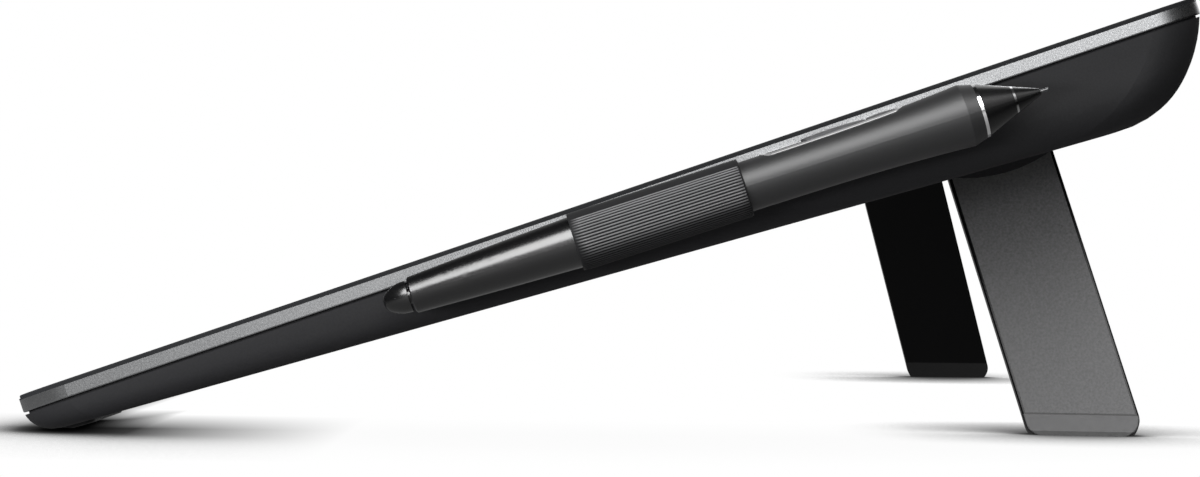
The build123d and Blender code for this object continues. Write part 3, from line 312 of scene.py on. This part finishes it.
def elastic_loop():
    """Closed mesh of the ribbed tape, with the ribs' tone at each point (painted highlight on their tops,
    painted shade in their grooves and towards the underside), and the tape's length in mm.
    """
    line = tape_line()
    travelled = [0.0]
    for (x0, up0, _), (x1, up1, _) in zip(line, line[1:]):
        travelled.append(travelled[-1] + hypot(x1 - x0, up1 - up0))
    verts, faces, ribs = [], [], []
    rows = len(line)
    stations = [LOOP_FROM, LOOP_FROM + HEM * HEM_RING]
    inner = LOOP_TO - LOOP_FROM - 2 * HEM
    stations += [LOOP_FROM + HEM + inner * step / LENGTH_STEPS for step in range(LENGTH_STEPS + 1)]
    stations += [LOOP_TO - HEM * HEM_RING, LOOP_TO]
    for station in stations:
        near_end = min(station - LOOP_FROM, LOOP_TO - station) < HEM
        for side in (1, -1):
            for row, (x, up, angle) in enumerate(line):
                before, after = line[max(row - 1, 0)], line[min(row + 1, rows - 1)]
                dx, dup = after[0] - before[0], after[1] - before[1]
                size = hypot(dx, dup)
                offset = TAPE_T / 2 * side
                tone = PLAIN_TONE
                if side == 1 and angle < PLAIN_FROM and not near_end:
                    phase = travelled[row] / RIB_PITCH * 2 * pi
                    offset += RIB_HEIGHT / 2 * cos(phase)
                    # painted shade: the ribs' pale tops darken towards the pen's underside, where less light
                    # falls
                    underside_shade = min(1.0, max(FADE_LEAST, 1.0 + (angle + FADE_FROM) / FADE_OVER))
                    # painted highlight on the ribs' tops and painted shade in their grooves
                    tone = (0.5 + 0.5 * cos(phase)) * underside_shade
                ribs.append(tone)
                verts.append(PEN @ Vector(((x - dup / size * offset) * MM, station * MM,
                                           (up + dx / size * offset) * MM)))
    across = 2 * rows
    for level in range(len(stations) - 1):
        low, high = level * across, (level + 1) * across
        for row in range(rows - 1):
            faces.append((low + row, high + row, high + row + 1, low + row + 1))
            faces.append((low + rows + row + 1, high + rows + row + 1, high + rows + row, low + rows + row))
        for row in (0, rows - 1):
            quad = (low + row, low + rows + row, high + rows + row, high + row)
            faces.append(quad if row == 0 else quad[::-1])
    last = (len(stations) - 1) * across
    for row in range(rows - 1):
        faces.append((row, row + 1, rows + row + 1, rows + row))
        faces.append((last + row, last + rows + row, last + rows + row + 1, last + row + 1))
    mesh = bpy.data.meshes.new("elastic_loop")
    mesh.from_pydata([tuple(v) for v in verts], [], faces)
    mesh.validate()
    mesh.shade_smooth()
    mesh.attributes.new("rib", "FLOAT", "POINT").data.foreach_set("value", ribs)
    loop = bpy.data.objects.new("elastic_loop", mesh)
    bpy.context.scene.collection.objects.link(loop)
    return loop, travelled[-1]


loop, tape_length = elastic_loop()
bpy.ops.object.select_all(action="DESELECT")
loop.select_set(True)
bpy.context.view_layer.objects.active = loop
bpy.ops.object.mode_set(mode="EDIT")
bpy.ops.mesh.select_all(action="SELECT")
bpy.ops.mesh.normals_make_consistent(inside=False)
bpy.ops.object.mode_set(mode="OBJECT")


def ribbed_elastic():
    """Woven elastic: dark yarn 0.3 mm thick, with a painted highlight along the ribs' tops, painted shade in
    their grooves and towards the pen's underside, and a dry sheen.
    """
    material, tree = new_material("woven_elastic_tape")
    rib = add_node(tree, "ShaderNodeAttribute", {"attribute_name": "rib"}).outputs["Fac"]
    sheen = add_node(tree, "ShaderNodeMapRange", inputs={"Value": rib, "To Min": 0.0, "To Max": 0.5})
    add_node(tree, "ShaderNodeOutputMaterial", inputs={"Surface": surface(
        tree, ("#020203", "#88888a"), (0.4, 0.5), grain_mm=0.3, depth_mm=0.015, amount=rib,
        Specular_IOR_Level=sheen)})
    return material


loop.data.materials.append(ribbed_elastic())
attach(loop, "tablet")
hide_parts("pen_loop")


# Studio

WHITE = linear("#ffffff")
FLOOR_GREY = linear("#898989")        # the floor as the light from it colours the object
FLOOR_SHADE = linear("#272727")       # and as it looks in its shadows
FLOOR_SIZE = 8.0
ROOM_LIGHT = 0.55          # plain light from the front half of the room
CONTACT_REACH = 0.0055     # the dark contact shadow is gone this far from the object
CONTACT_DARK = 0.1         # share of open sky below which it is at its darkest
CORNER_REACH = 0.085       # and the soft ones this far
LEG_REACH = 0.05
SOFT_POWER = 6.0           # how fast the soft shadows deepen towards the object

# Steps across the floor: the axis, where the step starts and ends in mm, its value before and after.
# One soft shadow lies beside the tablet's front corner and one round each leg. Deep under the body,
# between its front edge and the legs, the floor stays white. Reflections show some white only beside
# the tablet and away from it
FLOOR_STEPS = {
    "corner_across": ("X", 120, 180, 0.0, 1.0), "corner_along": ("Y", -110, -60, 0.95, 0.03),
    "legs_along": ("Y", 55, 75, 0.0, 0.95),
    "under_across": ("X", 100, 150, 1.0, 0.0), "under_front": ("Y", -130, -120, 0.0, 1.0),
    "under_rear": ("Y", 20, 50, 1.0, 0.0),
    "glow_across": ("X", 240, 550, 0.28, 0.85), "glow_along": ("off_middle", 100, 300, 1.0, 0.0)}

# Steps across the room by direction, in the same order. Reflections show a white room, brighter towards
# the rear, with dark flags overhead and past both ends; plain light is weaker from the rear
ROOM_STEPS = {
    "ceiling": ("Z", 0.72, 0.90, 1.0, 0.03), "walls": ("Y", -0.40, 0.24, 0.02, 1.2),
    "rear_flag": ("Y", 0.35, 0.75, 1.0, 0.02), "plain_light": ("Y", -0.3, 0.8, ROOM_LIGHT, ROOM_LIGHT / 4)}


def near_share(tree, reach, power):
    """Share of the sky that nothing within reach hides, to a power."""
    share = add_node(tree, "ShaderNodeAmbientOcclusion", {"samples": 16}, {"Distance": reach})
    return add_node(tree, "ShaderNodeMath", {"operation": "POWER"}, {0: share.outputs["AO"], 1: power})


def pale_floor():
    """White floor that shows its shaded self only close to the object."""
    material, tree = new_material("pale_studio_floor")
    place = add_node(tree, "ShaderNodeSeparateXYZ", inputs={
        "Vector": add_node(tree, "ShaderNodeTexCoord").outputs["Object"]}).outputs
    off_middle = add_node(tree, "ShaderNodeMath", {"operation": "ABSOLUTE"}, {0: place["Y"]})
    axes = {"X": place["X"], "Y": place["Y"], "off_middle": off_middle}
    step = {name: add_node(tree, "ShaderNodeMapRange", inputs={
        "Value": axes[axis], "From Min": start * MM, "From Max": end * MM, "To Min": low, "To Max": high})
        for name, (axis, start, end, low, high) in FLOOR_STEPS.items()}
    open_share = add_node(tree, "ShaderNodeMapRange", inputs={
        "Value": near_share(tree, CONTACT_REACH, 1.0), "From Min": CONTACT_DARK})
    corner = add_node(tree, "ShaderNodeMath", {"operation": "MULTIPLY"}, {
        0: step["corner_across"], 1: step["corner_along"]})
    for depth, reach in ((corner, CORNER_REACH), (step["legs_along"], LEG_REACH)):
        hidden = add_node(tree, "ShaderNodeMath", {"operation": "SUBTRACT"}, {
            0: 1.0, 1: near_share(tree, reach, SOFT_POWER)})
        shadow = add_node(tree, "ShaderNodeMath", {"operation": "MULTIPLY"}, {0: depth, 1: hidden})
        light_left = add_node(tree, "ShaderNodeMath", {"operation": "SUBTRACT"}, {0: 1.0, 1: shadow})
        open_share = add_node(tree, "ShaderNodeMath", {"operation": "MULTIPLY"}, {
            0: open_share, 1: light_left})
    under = step["under_across"]
    for edge in ("under_front", "under_rear"):
        under = add_node(tree, "ShaderNodeMath", {"operation": "MULTIPLY"}, {0: under, 1: step[edge]})
    open_share = add_node(tree, "ShaderNodeMath", {"operation": "MAXIMUM"}, {0: open_share, 1: under})
    shade = add_node(tree, "ShaderNodeBsdfDiffuse", inputs={"Color": FLOOR_SHADE})
    white = add_node(tree, "ShaderNodeEmission", inputs={"Color": WHITE, "Strength": 1.0})
    shown = add_node(tree, "ShaderNodeMixShader", inputs={"Fac": open_share, 1: shade, 2: white})
    patch = add_node(tree, "ShaderNodeMath", {"operation": "MULTIPLY"}, {
        0: step["glow_along"], 1: step["glow_across"]})
    glow = add_node(tree, "ShaderNodeEmission", inputs={"Color": WHITE, "Strength": patch})
    lit = add_node(tree, "ShaderNodeBsdfDiffuse", inputs={"Color": FLOOR_GREY})
    path = add_node(tree, "ShaderNodeLightPath").outputs
    indirect = add_node(tree, "ShaderNodeMixShader", inputs={"Fac": path["Is Glossy Ray"], 1: lit, 2: glow})
    seen = add_node(tree, "ShaderNodeMath", {"operation": "MAXIMUM"}, {
        0: path["Is Camera Ray"], 1: path["Is Transmission Ray"]})
    mixed = add_node(tree, "ShaderNodeMixShader", inputs={"Fac": seen, 1: indirect, 2: shown})
    add_node(tree, "ShaderNodeOutputMaterial", inputs={"Surface": mixed})
    return material


def studio_room():
    """World: white where it is seen, stepped where it is mirrored, plain where it lights."""
    world = bpy.data.worlds.new("studio")
    world.use_nodes = True
    tree = world.node_tree
    tree.nodes.clear()
    towards = add_node(tree, "ShaderNodeSeparateXYZ", inputs={
        "Vector": add_node(tree, "ShaderNodeTexCoord").outputs["Generated"]}).outputs
    step = {name: add_node(tree, "ShaderNodeMapRange", {"interpolation_type": "SMOOTHSTEP"}, {
        "Value": towards[axis], "From Min": start, "From Max": end, "To Min": low, "To Max": high})
        for name, (axis, start, end, low, high) in ROOM_STEPS.items()}
    mirrored = step["ceiling"]
    for part in ("walls", "rear_flag"):
        mirrored = add_node(tree, "ShaderNodeMath", {"operation": "MULTIPLY"}, {0: mirrored, 1: step[part]})
    path = add_node(tree, "ShaderNodeLightPath").outputs
    lighting = add_node(tree, "ShaderNodeMix", {"data_type": "FLOAT"}, {
        "Factor": path["Is Glossy Ray"], "A": step["plain_light"], "B": mirrored})
    seen = add_node(tree, "ShaderNodeMath", {"operation": "MAXIMUM"}, {
        0: path["Is Camera Ray"], 1: path["Is Transmission Ray"]})
    strength = add_node(tree, "ShaderNodeMix", {"data_type": "FLOAT"}, {
        "Factor": seen, "A": lighting, "B": 1.0})
    room = add_node(tree, "ShaderNodeBackground", inputs={"Color": WHITE, "Strength": strength})
    add_node(tree, "ShaderNodeOutputWorld", inputs={"Surface": room})
    return world


bpy.ops.mesh.primitive_plane_add(size=FLOOR_SIZE, location=(0, 0, 0))
floor = bpy.context.object
floor.name = "studio_floor"
floor.data.materials.append(pale_floor())
bpy.context.scene.world = studio_room()

LIT_POINT = Vector((0.2, 0.0, 0.05))


def softbox(name, azimuth, elevation, distance, width, height, radiance):
    """Rectangular lamp on a sphere round the tablet; azimuth 0 is +X and 90 is +Y."""
    data = bpy.data.lights.new(name, "AREA")
    data.shape = "RECTANGLE"
    data.size = width
    data.size_y = height
    data.energy = radiance * pi * width * height
    light = bpy.data.objects.new(name, data)
    bpy.context.scene.collection.objects.link(light)
    around, rise = radians(azimuth), radians(elevation)
    outwards = Vector((cos(rise) * cos(around), cos(rise) * sin(around), sin(rise)))
    light.location = LIT_POINT + outwards * distance
    light.rotation_euler = (-outwards).to_track_quat("-Z", "Y").to_euler()
    return light


# One lamp gives the long highlight on the pen and no plain light. Two give plain light and are mirrored
# nowhere: a low one off the near side's front corner and a broad one overhead
highlight_box = softbox("highlight_box", azimuth=-3, elevation=38, distance=1.1, width=1.0, height=0.78,
                        radiance=10.5)
highlight_box.visible_diffuse = False
low_fill = softbox("low_fill", azimuth=-46, elevation=-2, distance=0.5, width=0.5, height=0.06,
                   radiance=17.0)
low_fill.visible_glossy = False
overhead_fill = softbox("overhead_fill", azimuth=60, elevation=80, distance=1.2, width=1.2, height=1.2,
                        radiance=1.6)
overhead_fill.visible_glossy = False

# Camera: off the tablet's right side, level with its middle, rolled a little as the photo is
LENS_PX = 3260.0
IMAGE_W = 1200.0
SENSOR = 36.0
ROLL = radians(0.763)
YAW = radians(0.391)
PITCH = radians(0.029)
CAMERA_PLACE = Vector((950.0, 143.75, -9.97)) * MM   # in the flat frame
camera_data = bpy.data.cameras.new("camera")
camera_data.sensor_width = SENSOR
camera_data.lens = LENS_PX * SENSOR / IMAGE_W
camera_data.clip_end = 50.0
camera = bpy.data.objects.new("camera", camera_data)
bpy.context.scene.collection.objects.link(camera)
level_right = Vector((0, cos(ROLL), sin(ROLL)))
level_up = Vector((0, -sin(ROLL), cos(ROLL)))
level_forward = Vector((-1, 0, 0)) * cos(YAW) - level_right * sin(YAW)
right = level_forward.cross(level_up)
forward = level_forward * cos(PITCH) - level_up * sin(PITCH)
up = level_up * cos(PITCH) + level_forward * sin(PITCH)
place = TABLET @ CAMERA_PLACE
camera.matrix_world = Matrix((
    (right.x, up.x, -forward.x, place.x), (right.y, up.y, -forward.y, place.y),
    (right.z, up.z, -forward.z, place.z), (0, 0, 0, 1)))
bpy.context.scene.camera = camera

bpy.context.scene.view_settings.view_transform = "Standard"
# Stray sparks of light between the pen and the trim stay out
bpy.context.scene.cycles.sample_clamp_indirect = 2.0
